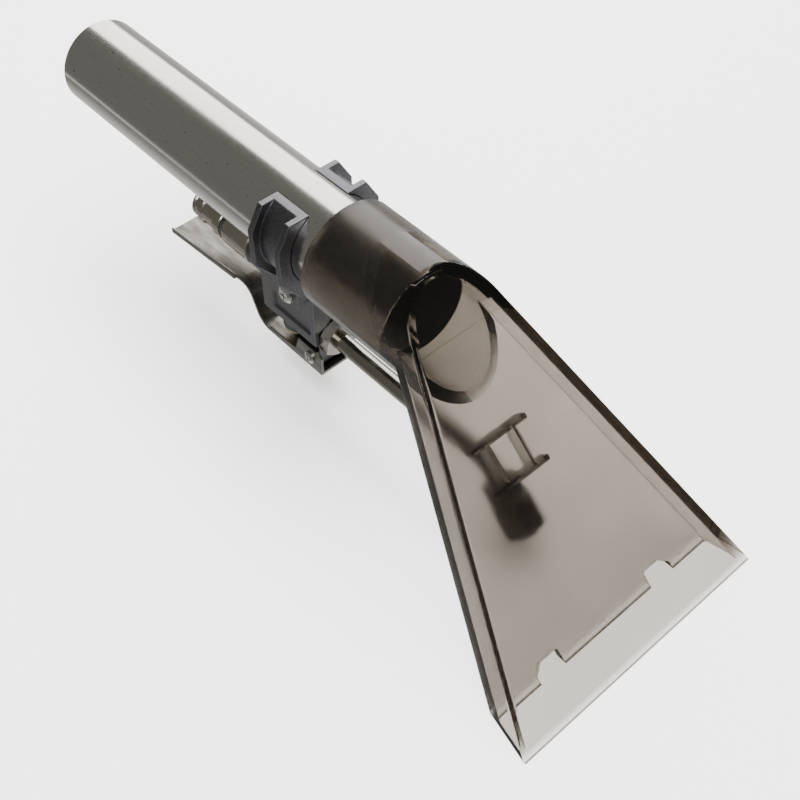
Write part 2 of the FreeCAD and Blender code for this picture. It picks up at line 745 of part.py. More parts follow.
def pivot_fasteners():
    """The pivot screw and its nut, which turn with the trigger."""
    y, z, face = D["pivot_y"], D["pivot_z"], D["ear_inside"] + D["steel"]
    head, nut = 1.6, 2.4
    screw = turned("pivot_screw_turning", [
        (0, 0),
        (1.7, 0),
        (2.8, 0.8),
        (2.8, head),
        (D["pivot_radius"], head),
        (D["pivot_radius"], face * 2 + head + nut + 0.5),
        (0, face * 2 + head + nut + 0.5),
    ], -face - head, y, z, Y_AXIS, 90)
    cut("pivot_screw", screw, cross_slot("pivot_screw_recess", -face - head, y, z, 1.6, 0.7))
    blank = hexagon("pivot_nut_blank", 6.0, nut, face, y, z, Y_AXIS, 90)
    cut("pivot_nut", blank, rod_x("pivot_nut_hole", D["pivot_radius"], face - 1, face + 4, y, z))


# ---------------------------------------------------------------- solution inlet


def inlet_coupling():
    """The adaptor with its strainer, and the quick-connect plug behind its black washer."""
    z, start = D["inlet_z"], D["valve_back"] + 12
    radius, rear = D["adaptor_radius"], D["adaptor_rear"]
    turned("inlet_adaptor", [
        (3.2, -6.9),
        (4.95, -6.9),
        (4.95, 0),
        (radius - 0.6, 0),
        (radius, 0.6),
        (radius, rear - start - 0.6),
        (radius - 0.6, rear - start),
        (5.5, rear - start),
        (5.5, 5.0),
        (3.2, 5.0),
    ], 0, start, z, X_AXIS, -90)
    turned("inlet_strainer", [
        (2.5, -5.5),
        (3.1, -5.5),
        (3.1, 5.1),
        (5.3, 5.1),
        (5.3, 5.8),
        (2.5, 5.8),
    ], 0, start, z, X_AXIS, -90)
    barrel, length, washer = D["coupler_radius"], D["coupler_rear"] - rear, 2.3
    turned("plug_o_ring", [
        (5.5, 0),
        (7.2, 0),
        (7.4, 0.4),
        (7.4, washer - 0.4),
        (7.2, washer),
        (5.5, washer),
    ], 0, rear, z, X_AXIS, -90)
    turned("quick_connect_plug", [
        (2.5, -10.5),
        (5.45, -10.5),
        (5.45, washer),
        (barrel + 0.6, washer),
        (barrel + 1.0, washer + 0.5),
        (barrel + 1.0, washer + 4.2),
        (barrel + 0.6, washer + 4.7),
        (barrel, washer + 4.7),
        (barrel, length - 7.8),
        (barrel + 0.6, length - 7.2),
        (barrel + 0.6, length - 5.2),
        (barrel - 0.6, length - 4.2),
        (barrel - 0.6, length - 2.4),
        (barrel, length - 1.6),
        (barrel, length - 0.8),
        (barrel - 0.8, length),
        (2.5, length),
    ], 0, rear, z, X_AXIS, -90)


# ---------------------------------------------------------------- spray line and jet


def outlet_fitting():
    """The low compression fitting on the valve's outlet: stub, ferrule and nut."""
    z, face = D["outlet_z"], D["valve_front"]
    line = D["line_od"] / 2
    turned("outlet_connector", [
        (2.2, -6.3),
        (3.55, -6.3),
        (3.55, 0),
        (5.6, 0),
        (5.6, 2.6),
        (line + 0.9, 2.6),
        (line + 0.05, 1.5),
        (line + 0.05, 0.6),
        (2.2, 0.6),
    ], 0, face, z, X_AXIS, 90)
    ferrule("outlet_ferrule", 0, face - 2.0, z, 90, 1.5)
    compression_nut("outlet_nut", D["outlet_nut_length"], 0, face - 0.1, z, 90, 30)


def ferrule(label, x, y, z, angle, length=2.6):
    """The brass olive that grips the spray tube."""
    line = D["line_od"] / 2
    return turned(label, [
        (line + 0.02, 0),
        (line + 0.1, 0),
        (line + 0.85, length * 0.42),
        (line + 1.1, length * 0.62),
        (line + 0.6, length),
        (line + 0.02, length),
    ], x, y, z, X_AXIS, angle)


def compression_nut(label, length, x, y, z, angle, spin=0):
    """A hexagon nut with a threaded bore and a small hole for the spray tube."""
    line = D["line_od"] / 2
    blank = hexagon(f"{label}_blank", D["nut_flats"], length, x, y, z, X_AXIS, angle, spin)
    bore = turned(f"{label}_bore", [
        (0, -1),
        (5.65, -1),
        (5.65, length - 1.4),
        (line + 0.1, length - 1.4),
        (line + 0.1, length + 1),
        (0, length + 1),
    ], x, y, z, X_AXIS, angle)
    return cut(label, blank, bore)


JET_TILT = D["plate_angle"] + 90  # turns an upright piece to point down along the jet


def on_jet_line(distance):
    """The point at a distance below the spray tube's corner, along the jet."""
    distance = size(distance)
    return (0, D["line_bend_y"] - distance * SLOPE_COS, D["outlet_z"] - distance * SLOPE_SIN)


def spray_tube():
    """The bent tube from the valve to the jet."""
    start, end = D["valve_front"] - 0.8, 17.4
    run = start - D["line_bend_y"]
    radius = D["line_od"] / 2
    tube = piped("spray_tube", "YZ_Plane", [
        (0, 0),
        (-run, 0),
        (-run - end * SLOPE_COS, -end * SLOPE_SIN),
    ], D["line_bend_radius"], "XZ_Plane", circles=(radius, radius - D["line_wall"]))
    place(tube, 0, start, D["outlet_z"])


def jet():
    """The jet at the tube's end: nut, ferrule, body, strainer, spray tip and cap."""
    body_from, body_to, cap_to = 17.2, 24.6, 31.5
    line = D["line_od"] / 2
    compression_nut("jet_nut", D["jet_nut_length"], *on_jet_line(body_from - 1), 180 + JET_TILT)
    ferrule("jet_ferrule", *on_jet_line(body_from - 4.1), 180 + JET_TILT)

    spigot = turned("jet_spigots", [
        (2.2, 0.4),
        (line + 0.05, 0.4),
        (line + 0.05, -3.9),
        (line + 0.9, -5.2),
        (5.6, -5.2),
        (5.6, body_to - body_from + 4.0),
        (3.4, body_to - body_from + 4.0),
        (3.4, 3.0),
        (2.2, 3.0),
    ], *on_jet_line(body_from), X_AXIS, JET_TILT)
    hexagon_part = hexagon("jet_hexagon", D["jet_flats"], body_to - body_from,
                           *on_jet_line(body_from), X_AXIS, JET_TILT)
    core = turned("jet_core", [
        (0, -1),
        (5.0, -1),
        (5.0, body_to - body_from + 1),
        (0, body_to - body_from + 1),
    ], *on_jet_line(body_from), X_AXIS, JET_TILT)
    fuse("jet_body", cut("jet_hexagon_ring", hexagon_part, core), spigot)
    turned("jet_strainer", [
        (2.3, 0),
        (2.9, 0),
        (2.9, 7.2),
        (3.3, 7.2),
        (3.3, 8.1),
        (2.3, 8.1),
    ], *on_jet_line(body_from + 3.2), X_AXIS, JET_TILT)

    tip = turned("spray_tip_turning", [
        (1.2, 0),
        (5.6, 0),
        (5.6, 1.6),
        (4.4, 1.6),
        (4.4, 4.4),
        (3.9, 4.9),
        (0.6, 4.9),
        (0.6, 3.4),
        (1.2, 2.4),
    ], *on_jet_line(body_to + 4.1), X_AXIS, JET_TILT)
    tip_x, tip_y, tip_z = on_jet_line(body_to + 4.1 + 4.2)
    fan_cut = box("tip_fan_slot", (-6, 6), (-0.4, 0.4), (0, 2))
    place(fan_cut, -6, tip_y - 0.4 * SLOPE_SIN, tip_z + 0.4 * SLOPE_COS, X_AXIS, JET_TILT)
    cut("spray_tip", tip, fan_cut)

    cap = hexagon("tip_cap_blank", D["jet_flats"], cap_to - body_to - 0.2,
                  *on_jet_line(body_to + 0.2), X_AXIS, JET_TILT)
    cap_bore = turned("tip_cap_bore", [
        (0, -1),
        (5.65, -1),
        (5.65, cap_to - body_to - 1.1),
        (4.5, cap_to - body_to - 1.1),
        (4.5, cap_to - body_to + 1),
        (0, cap_to - body_to + 1),
    ], *on_jet_line(body_to + 0.2), X_AXIS, JET_TILT)
    cut("tip_cap", cap, cap_bore)


# ---------------------------------------------------------------- the whole tool

NODES = [
    "vacuum_tube", "head_shell", "front_window",
    "saddle_clamp", "saddle_screw", "saddle_nut",
    "valve_body", "valve_top_plug", "top_plug_o_ring", "stem_gland", "stem_o_ring",
    "valve_plunger", "valve_poppet", "poppet_seal", "valve_spring",
    "trigger_lever", "pivot_screw", "pivot_nut",
    "inlet_adaptor", "inlet_strainer", "quick_connect_plug", "plug_o_ring",
    "outlet_connector", "outlet_ferrule", "outlet_nut", "spray_tube",
    "jet_nut", "jet_ferrule", "jet_body", "jet_strainer", "spray_tip", "tip_cap",
]


def check_and_export():
    """Stop on any failed object or empty shape, then write one STEP file per node."""
    doc.recompute()
    for item in doc.Objects:
        if "Invalid" in item.State or "Error" in item.State:
            raise RuntimeError(f"{item.Label}: {item.State}")
    os.makedirs("parts", exist_ok=True)
    for node in NODES:
        shape = doc.getObjectsByLabel(node)[0].Shape
        if shape.isNull() or not shape.isValid() or not shape.Solids:
            raise RuntimeError(f"{node}: no valid solid")
        shape.exportStep(f"parts/{node}.step")
        print(f"{node:20s} solids {len(shape.Solids)}  volume {shape.Volume:10.1f} mm3")


vacuum_tube()
suction_head()
saddle_clamp()
saddle_fasteners()
valve_body()
valve_closures()
valve_moving_parts()
valve_spring()
trigger_lever()
pivot_fasteners()
inlet_coupling()
outlet_fitting()
spray_tube()
jet()
check_and_export()
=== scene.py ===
"""Looks of a carpet extractor's hand tool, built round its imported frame.

Everything is in metres in the frame's own axes: +Z up from the suction mouth, +Y along the wand
tube towards the hose end, +X to the left seen from the hose end.
"""

import json
import math

import bmesh
import bpy
from bpy.props import FloatProperty, FloatVectorProperty, PointerProperty
from mathutils import Matrix, Vector

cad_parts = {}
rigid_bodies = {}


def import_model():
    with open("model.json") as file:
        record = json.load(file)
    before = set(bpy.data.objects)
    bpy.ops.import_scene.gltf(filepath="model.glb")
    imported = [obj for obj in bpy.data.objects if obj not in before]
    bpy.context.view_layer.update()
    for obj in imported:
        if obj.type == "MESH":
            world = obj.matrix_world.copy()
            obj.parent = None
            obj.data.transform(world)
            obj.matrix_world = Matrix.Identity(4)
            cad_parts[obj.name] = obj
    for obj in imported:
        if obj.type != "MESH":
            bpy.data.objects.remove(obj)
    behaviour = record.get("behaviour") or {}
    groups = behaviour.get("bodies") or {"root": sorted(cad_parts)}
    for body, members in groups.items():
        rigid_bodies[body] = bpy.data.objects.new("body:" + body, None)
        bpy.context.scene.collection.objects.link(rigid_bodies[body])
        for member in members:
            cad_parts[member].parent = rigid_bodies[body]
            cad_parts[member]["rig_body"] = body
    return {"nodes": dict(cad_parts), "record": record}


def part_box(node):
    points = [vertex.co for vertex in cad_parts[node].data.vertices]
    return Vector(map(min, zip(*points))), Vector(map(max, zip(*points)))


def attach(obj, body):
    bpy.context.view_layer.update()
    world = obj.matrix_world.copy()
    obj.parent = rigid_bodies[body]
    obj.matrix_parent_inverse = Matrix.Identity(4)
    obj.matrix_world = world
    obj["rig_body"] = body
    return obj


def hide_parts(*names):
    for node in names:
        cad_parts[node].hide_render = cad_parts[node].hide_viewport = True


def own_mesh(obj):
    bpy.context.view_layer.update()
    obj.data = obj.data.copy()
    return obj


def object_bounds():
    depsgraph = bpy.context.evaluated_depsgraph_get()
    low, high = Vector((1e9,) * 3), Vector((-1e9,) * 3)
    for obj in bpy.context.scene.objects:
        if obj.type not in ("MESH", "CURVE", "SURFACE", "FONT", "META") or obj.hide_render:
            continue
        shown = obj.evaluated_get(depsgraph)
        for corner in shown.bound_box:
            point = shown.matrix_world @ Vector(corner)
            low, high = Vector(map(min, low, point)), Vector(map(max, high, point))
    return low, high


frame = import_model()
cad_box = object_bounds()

bl_info = {
    "name": "Extractor Hand Tool Looks",
    "version": (1, 0, 0),
    "blender": (4, 5, 0),
    "location": "View3D > Sidebar > Hand Tool",
    "description": "Finishes the clear head, wand tube, valve and trigger of a hand tool",
    "category": "Object",
}

NODES = frame["nodes"]
SLOT_OF = {part["node"]: part["material_slot"] for part in frame["record"]["subparts"]}

CUFF_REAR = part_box("head_shell")[1].y
AXIS_Z = (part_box("vacuum_tube")[0].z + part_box("vacuum_tube")[1].z) / 2
WALL = 0.003  # of the head's plates
SIDE_WALL = 0.00312  # of the fan's sides, measured across
THROAT_RADIUS = 0.0174
SOCKET_RADIUS = 0.0189  # of the cuff, round the tube's seat
SIDE_TURN = math.radians(67.25)  # round the cuff, where the fan's sides leave it
PLATE_SLOPE = math.radians(43)  # of the head's two plates, from the floor
INSIDE_FAN = 0.05  # a Y where the cuff and the throat are still within the fan
CAMERA_PLACE = (-0.21011, -0.11076, 0.39704)
CAMERA_RIGHT = Vector((0.74092, -0.67159, 0.00116))
CAMERA_BACK = Vector((-0.43462, -0.47817, 0.76319))
MERGE = 2e-6  # points nearer than this are one point
SHARP = math.radians(32)  # an edge that turns more than this is a corner


# ---------------------------------------------------------------- settings


class HeadSettings(bpy.types.PropertyGroup):
    """The clear suction head."""

    edge_radius: FloatProperty(
        name="Edge radius", description="Rounding of the head's moulded edges",
        default=0.0006, min=0.0, unit="LENGTH")
    crease_depth: FloatProperty(
        name="Crease depth", description="Depth of the fine crease across the window",
        default=0.00012, min=0.0, unit="LENGTH")
    tint: FloatVectorProperty(
        name="Smoke tint", description="Colour that thick plastic keeps",
        default=(0.43, 0.39, 0.335), subtype="COLOR", min=0.0, max=1.0)
    smoke: FloatProperty(
        name="Smoke density", description="How fast the plastic darkens with depth, per metre",
        default=465.0, min=0.0)
    frost: FloatProperty(
        name="Frost", description="Roughness of the back plate and the cuff",
        default=0.28, min=0.0, max=1.0)


class MetalSettings(bpy.types.PropertyGroup):
    """The metal parts."""

    casting_edge: FloatProperty(
        name="Casting edge", description="Rounding of the cast saddle and valve block",
        default=0.00045, min=0.0, unit="LENGTH")
    sheet_edge: FloatProperty(
        name="Sheet edge", description="Rounding of the trigger's sheared edges",
        default=0.00025, min=0.0, unit="LENGTH")
    tube_steel: FloatVectorProperty(
        name="Tube steel", description="Colour of the wand tube",
        default=(0.60, 0.585, 0.56), subtype="COLOR", min=0.0, max=1.0)
    casting: FloatVectorProperty(
        name="Casting", description="Colour of the die-cast aluminium",
        default=(0.125, 0.125, 0.135), subtype="COLOR", min=0.0, max=1.0)
    nickel: FloatVectorProperty(
        name="Nickel", description="Colour of the nickel-plated fittings",
        default=(0.45, 0.43, 0.375), subtype="COLOR", min=0.0, max=1.0)


class StageSettings(bpy.types.PropertyGroup):
    """Floor, lamps and camera."""

    lens: FloatProperty(
        name="Lens", description="Focal length on a sensor 36 mm wide",
        default=55.13, min=10.0, unit="CAMERA")
    floor: FloatVectorProperty(
        name="Floor", description="Colour of the floor",
        default=(0.88, 0.88, 0.875), subtype="COLOR", min=0.0, max=1.0)
    softbox: FloatProperty(
        name="Softbox", description="Power of the softbox behind the tool",
        default=24.0, min=0.0, unit="POWER")
    front: FloatProperty(
        name="Front lamp", description="Power of the lamp by the camera",
        default=10.0, min=0.0, unit="POWER")
    ceiling: FloatProperty(
        name="Ceiling", description="Power of the lamp over the floor",
        default=200.0, min=0.0, unit="POWER")


# ---------------------------------------------------------------- finishes


class Finish:
    """A node material in the making."""

    def __init__(self, name):
        self.material = bpy.data.materials.new(name)
        self.material.use_nodes = True
        self.tree = self.material.node_tree
        self.shader = self.tree.nodes["Principled BSDF"]
        self.output = self.tree.nodes["Material Output"]

    def feed(self, socket, source):
        """Link a socket to another, or give it a plain value."""
        if isinstance(source, bpy.types.NodeSocket):
            self.tree.links.new(source, socket)
        else:
            socket.default_value = source

    def add(self, kind, inputs, **settings):
        """A node with its inputs fed."""
        node = self.tree.nodes.new(kind)
        for name, value in settings.items():
            setattr(node, name, value)
        for name, source in inputs.items():
            self.feed(node.inputs[name], source)
        return node

    def stretched(self, stretch):
        """Coordinates of the object, stretched along its axes."""
        place = self.add("ShaderNodeTexCoord", {}).outputs["Object"]
        scaled = self.add("ShaderNodeMapping", {"Vector": place, "Scale": stretch})
        return scaled.outputs["Vector"]

    def noise(self, stretch, scale, detail=4.0):
        """Grain of so many cells per metre."""
        grain = self.add("ShaderNodeTexNoise", {
            "Vector": self.stretched(stretch), "Scale": scale, "Detail": detail})
        return grain.outputs["Fac"]

    def beyond(self, direction, start, end):
        """A mask that goes from 0 to 1 between two distances along a direction, in metres."""
        along = self.tree.nodes.new("ShaderNodeVectorMath")
        along.operation = "DOT_PRODUCT"
        self.feed(along.inputs[0], self.stretched((1.0, 1.0, 1.0)))
        along.inputs[1].default_value = direction
        mask = self.add("ShaderNodeMapRange", {
            "Value": along.outputs["Value"], "From Min": start, "From Max": end})
        return mask.outputs["Result"]

    def all_of(self, *masks):
        """White only where every mask is white."""
        product = masks[0]
        for mask in masks[1:]:
            product = self.add("ShaderNodeMath", {0: product, 1: mask},
                               operation="MULTIPLY").outputs[0]
        return product

    def ramp(self, factor, low, high, start=0.3, end=0.7):
        """A blend from one colour or value to another as the factor goes from start to end."""
        blend = self.add("ShaderNodeValToRGB", {"Fac": factor})
        for stop, position, value in ((0, start, low), (1, end, high)):
            blend.color_ramp.elements[stop].position = position
            colour = (value,) * 3 if isinstance(value, float) else tuple(value)
            blend.color_ramp.elements[stop].color = (*colour, 1.0)
        return blend.outputs["Color"]

    def mixed(self, factor, first, second):
        """First where the factor is 0, second where it is 1."""
        mix = self.tree.nodes.new("ShaderNodeMix")
        mix.data_type = "RGBA"
        self.feed(mix.inputs[0], factor)
        for socket, colour in ((mix.inputs[6], first), (mix.inputs[7], second)):
            if isinstance(colour, bpy.types.NodeSocket):
                self.feed(socket, colour)
            else:
                socket.default_value = (*colour, 1.0)
        return mix.outputs[2]

    # An edge mask: worn edges on the metals, painted shade along the plastic's edges.
    def wear_and_shade_edges(self, radius, start=0.02, end=0.25):
        """A mask that is white along the edges."""
        rounded = self.add("ShaderNodeBevel", {"Radius": radius}, samples=4)
        flat = self.add("ShaderNodeNewGeometry", {}).outputs["Normal"]
        facing = self.tree.nodes.new("ShaderNodeVectorMath")
        facing.operation = "DOT_PRODUCT"
        self.feed(facing.inputs[0], rounded.outputs["Normal"])
        self.feed(facing.inputs[1], flat)
        turned = self.add("ShaderNodeMath", {}, operation="SUBTRACT")
        turned.inputs[0].default_value = 1.0
        self.feed(turned.inputs[1], facing.outputs["Value"])
        return self.ramp(turned.outputs[0], 0.0, 1.0, start, end)

    def relief(self, height, depth, strength=1.0):
        """Fine relief of the surface, in metres."""
        bump = self.add("ShaderNodeBump", {
            "Height": height, "Distance": depth, "Strength": strength})
        self.feed(self.shader.inputs["Normal"], bump.outputs["Normal"])

    def surface(self, **values):
        """Set or link the shader's own sockets."""
        for name, source in values.items():
            self.feed(self.shader.inputs[name.replace("_", " ")], source)


def shade(colour, factor):
    """A colour made lighter or darker."""
    return tuple(min(1.0, channel * factor) for channel in colour)


def drawn_metal(name, colour, rough, stretch=(1.0, 1.0, 1.0), scale=400.0,
                depth=0.00001, contrast=0.16, anisotropic=0.0):
    """Bare or plated metal with a grain, patches of dullness and bright worn edges."""
    finish = Finish(name)
    grain = finish.noise(stretch, scale, 6.0)
    patches = finish.noise((1.0, 1.0, 1.0), 55.0, 3.0)
    body = finish.ramp(grain, shade(colour, 1 - contrast), shade(colour, 1 + contrast))
    tarnish = finish.ramp(patches, 0.0, 0.35, 0.35, 0.75)
    aged = finish.mixed(tarnish, body, shade(colour, 0.72))
    worn = finish.wear_and_shade_edges(0.0004)
    finish.surface(
        Base_Color=finish.mixed(worn, aged, shade(colour, 1.45)),
        Metallic=1.0,
        Anisotropic=anisotropic,
        Roughness=finish.ramp(grain, rough * 0.8, rough * 1.25))
    finish.relief(grain, depth)
    return finish.material


def tube_finish(look):
    """Satin stainless tube: long fine lines along it, a few pinpricks, soft reflections, painted
    shade inside the cuff.
    """
    colour = tuple(look.metal.tube_steel)
    finish = Finish("satin_tube")
    lines = finish.noise((1.0, 0.02, 1.0), 2600.0, 5.0)
    drift = finish.noise((1.0, 0.25, 1.0), 60.0, 3.0)
    specks = finish.noise((1.0, 0.6, 1.0), 900.0, 1.0)
    body = finish.ramp(lines, shade(colour, 0.95), shade(colour, 1.06))
    toned = finish.mixed(finish.ramp(drift, 0.0, 0.5), body, shade(colour, 0.88))
    pits = finish.ramp(specks, 0.0, 1.0, 0.735, 0.76)
    pitted = finish.mixed(pits, toned, shade(colour, 0.5))
    # painted shade: where the tube sits inside the cuff its steel is painted at 0.45 of its
    # colour and made rougher
    cuff_shade_mask = finish.beyond((0.0, -1.0, 0.0), -CUFF_REAR, -CUFF_REAR + 0.001)
    finish.surface(
        Base_Color=finish.mixed(cuff_shade_mask, pitted, shade(colour, 0.45)),
        Metallic=1.0,
        Anisotropic=0.35,
        Roughness=finish.mixed(cuff_shade_mask, finish.ramp(drift, 0.14, 0.2), (0.34, 0.34, 0.34)))
    finish.relief(lines, 0.0000015)
    return finish.material


def plastic_finish(look):
    """Clear smoked polycarbonate, frosted on the back, with painted shade along its edges, on the
    mouth's lips and over the cuff.
    """
    finish = Finish("smoked_polycarbonate")
    haze = finish.noise((1.0, 1.0, 1.0), 45.0, 3.0)
    flow = finish.noise((1.0, 0.35, 0.35), 120.0, 2.0)
    inward = (0.0, math.sin(PLATE_SLOPE), -math.cos(PLATE_SLOPE))
    frost = finish.ramp(finish.beyond(inward, 0.0055, 0.0073), 0.03, look.head.frost, 0.0, 1.0)
    # painted shade: the cuff's plastic is painted darker (0.88, 0.86, 0.84) than the rest of the
    # same moulding
    cuff = finish.beyond(inward, 0.012, 0.022)
    clear = finish.ramp(haze, (0.95, 0.945, 0.94), (1.0, 1.0, 1.0))
    smoked = finish.mixed(cuff, clear, (0.88, 0.86, 0.84))
    # painted shade: a dark outline (0.42, 0.39, 0.36) along every edge of the clear plastic
    outlined = finish.mixed(finish.wear_and_shade_edges(0.00045, 0.01, 0.15), smoked, (0.42, 0.39, 0.36))
    # painted shade: the mouth's front lip and a band of the back plate's lip at the floor are
    # painted near black
    front_lip = finish.beyond((0.0, -1.0, 0.0), 0.0099, 0.0102)
    rear_lip = finish.all_of(
        finish.beyond((0.0, 0.0, -1.0), -0.0009, -0.0004),
        finish.beyond((0.0, 1.0, 0.0), 0.0055, 0.0058),
        finish.beyond((0.0, -1.0, 0.0), -0.0082, -0.0074))
    lipped = finish.mixed(front_lip, outlined, (0.20, 0.18, 0.16))
    finish.surface(
        Base_Color=finish.mixed(rear_lip, lipped, (0.18, 0.16, 0.14)),
        IOR=1.45,
        Roughness=frost)
    finish.shader.inputs["Transmission Weight"].default_value = 1.0
    finish.relief(flow, 0.00002, 0.5)
    smoke = finish.add("ShaderNodeVolumeAbsorption", {
        "Color": (*look.head.tint, 1.0), "Density": look.head.smoke})
    finish.tree.links.new(smoke.outputs["Volume"], finish.output.inputs["Volume"])
    return finish.material


def casting_finish(look):
    """Tumbled die casting: dark, finely pitted, light on its edges."""
    colour = tuple(look.metal.casting)
    finish = Finish("tumbled_casting")
    pits = finish.noise((1.0, 1.0, 1.0), 3200.0, 2.0)
    mottle = finish.noise((1.0, 1.0, 1.0), 900.0, 6.0)
    body = finish.ramp(mottle, shade(colour, 0.85), shade(colour, 1.2))
    speckled = finish.mixed(finish.ramp(pits, 0.0, 0.9, 0.52, 0.66), body, shade(colour, 1.9))
    finish.surface(
        Base_Color=finish.mixed(finish.wear_and_shade_edges(0.0007), speckled, shade(colour, 3.4)),
        Metallic=1.0,
        Roughness=finish.ramp(mottle, 0.36, 0.5))
    finish.relief(pits, 0.00002)
    return finish.material


def scuffed_sheet_finish(look):
    """Brushed sheet steel with long scuffs and dull stains."""
    colour = (0.21, 0.20, 0.183)
    finish = Finish("scuffed_sheet")
    brushing = finish.noise((1.0, 0.03, 1.0), 1500.0, 6.0)
    scuffs = finish.noise((1.0, 0.18, 1.0), 260.0, 5.0)
    body = finish.ramp(brushing, shade(colour, 0.8), shade(colour, 1.25))
    stained = finish.mixed(finish.ramp(scuffs, 0.0, 0.85, 0.45, 0.68), body, shade(colour, 0.5))
    finish.surface(
        Base_Color=finish.mixed(finish.wear_and_shade_edges(0.0005), stained, shade(colour, 1.6)),
        Metallic=1.0,
        Anisotropic=0.4,
        Roughness=finish.ramp(scuffs, 0.28, 0.46))
    finish.relief(brushing, 0.00001)
    return finish.material


def rubber_finish(_look):
    """Black rubber with a faint bloom."""
    finish = Finish("black_rubber")
    bloom = finish.noise((1.0, 1.0, 1.0), 900.0, 4.0)
    finish.surface(
        Base_Color=finish.ramp(bloom, (0.012, 0.012, 0.012), (0.035, 0.034, 0.033)),
        Roughness=finish.ramp(bloom, 0.45, 0.7))
    finish.relief(bloom, 0.00002)
    return finish.material


def mesh_finish(_look):
    """Fine woven wire, drawn as two crossed sets of ridges with painted shade in the grooves
    between them.
    """
    finish = Finish("woven_wire")
    across = finish.add("ShaderNodeTexWave", {
        "Vector": finish.stretched((1.0, 1.0, 1.0)), "Scale": 500.0}, bands_direction="Z")
    along = finish.add("ShaderNodeTexWave", {
        "Vector": finish.stretched((1.0, 1.0, 1.0)), "Scale": 500.0}, bands_direction="Y")
    weave = finish.mixed(along.outputs["Fac"], across.outputs["Color"], (0.0, 0.0, 0.0))
    # painted shade: the grooves of the weave are painted dark (0.12), the ridges light (0.6)
    finish.surface(
        Base_Color=finish.mixed(weave, (0.12, 0.12, 0.12), (0.6, 0.6, 0.6)),
        Metallic=1.0,
        Roughness=0.35)
    finish.relief(weave, 0.00008)
    return finish.material


def bright_plate_finish(_look):
    """Bright zinc plate, for the screws and their nuts."""
    return drawn_metal("bright_zinc", (0.66, 0.66, 0.64), 0.2, depth=0.000006)


def brass_finish(_look):
    """Machined brass, for the gland, the top plug and the ferrules."""
    return drawn_metal("machined_brass", (0.66, 0.60, 0.27), 0.28, scale=700.0)


def stem_finish(_look):
    """Turned steel with lines round it, for the plunger and poppet."""
    return drawn_metal("turned_stem", (0.58, 0.58, 0.57), 0.22, (0.05, 0.05, 1.0), 1500.0)


def spring_finish(_look):
    """Drawn wire, for the return spring."""
    return drawn_metal("spring_wire", (0.48, 0.48, 0.47), 0.3, scale=900.0)


def nickel_finish(look):
    """Dull nickel plate, for the inlet, the line's nuts and the jet."""
    return drawn_metal("dull_nickel", tuple(look.metal.nickel), 0.24, scale=300.0,
                       depth=0.000002, contrast=0.08)


def line_finish(_look):
    """Polished steel with lines along it, for the spray tube."""
    return drawn_metal("polished_line", (0.36, 0.345, 0.31), 0.15, (1.0, 0.04, 1.0), 1400.0,
                       depth=0.000003, contrast=0.06, anisotropic=0.3)


def tip_finish(_look):
    """Machined steel, for the spray tip."""
    return drawn_metal("machined_tip", (0.62, 0.62, 0.61), 0.2, scale=900.0)


FINISH_OF_SLOT = {
    "stainless_tube": tube_finish,
    "clear_plastic": plastic_finish,
    "cast_aluminium": casting_finish,
    "plated_steel": bright_plate_finish,
    "brass": brass_finish,
    "rubber": rubber_finish,
    "stem_steel": stem_finish,
    "spring_steel": spring_finish,
    "trigger_steel": scuffed_sheet_finish,
    "nickel": nickel_finish,
    "mesh_steel": mesh_finish,
    "line_steel": line_finish,
    "tip_steel": tip_finish,
}
made_finishes = {}


def finish_for(slot, look):
    """The material of a slot, made the first time it is asked for."""
    if slot not in made_finishes:
        made_finishes[slot] = FINISH_OF_SLOT[slot](look)
    return made_finishes[slot]


# ---------------------------------------------------------------- shapes


def finish_nodes(names, look):
    """Give pieces of the frame their materials."""
    for name in names:
        slots = NODES[name].data.materials
        slots.clear()
        slots.append(finish_for(SLOT_OF[name], look))


def clean_copy(node):
    """A welded mesh of a frame piece whose flat faces are whole."""
    shape = bmesh.new()
    shape.from_mesh(NODES[node].data)
    bmesh.ops.remove_doubles(shape, verts=shape.verts, dist=MERGE)
    bmesh.ops.dissolve_limit(shape, angle_limit=math.radians(0.4),
                             verts=shape.verts, edges=shape.edges)
    return shape


def round_corners(shape, width, segments):
    """Round every sharp edge of a mesh."""
    corners = [edge for edge in shape.edges
               if edge.is_manifold and edge.calc_face_angle(0.0) > SHARP]
    bmesh.ops.bevel(shape, geom=corners, offset=width, offset_type="OFFSET", segments=segments,
                    profile=0.5, affect="EDGES", clamp_overlap=False, loop_slide=True)


def settle(shape, name, node, look):
    """Turn a mesh into a smooth piece that stands for a frame piece and rides with it."""
    mesh = bpy.data.meshes.new(name)
    shape.to_mesh(mesh)
    shape.free()
    mesh.shade_smooth()
    mesh.set_sharp_from_angle(angle=SHARP)
    piece = bpy.data.objects.new(name, mesh)
    bpy.context.scene.collection.objects.link(piece)
    mesh.materials.append(finish_for(SLOT_OF[node], look))
    weighted = piece.modifiers.new("flat_faces", "WEIGHTED_NORMAL")
    weighted.keep_sharp = True
    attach(piece, NODES[node]["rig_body"])
    return piece


def rounded_piece(name, node, width, look):
    """A copy of a frame piece with its corners rounded, shown in its place."""
    shape = clean_copy(node)
    round_corners(shape, width, 2)
    piece = settle(shape, name, node, look)
    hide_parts(node)
    return piece


def loose_object(name, shape):
    """A mesh as a plain object, for use in a boolean."""
    mesh = bpy.data.meshes.new(name)
    shape.to_mesh(mesh)
    shape.free()
    thing = bpy.data.objects.new(name, mesh)
    bpy.context.scene.collection.objects.link(thing)
    return thing


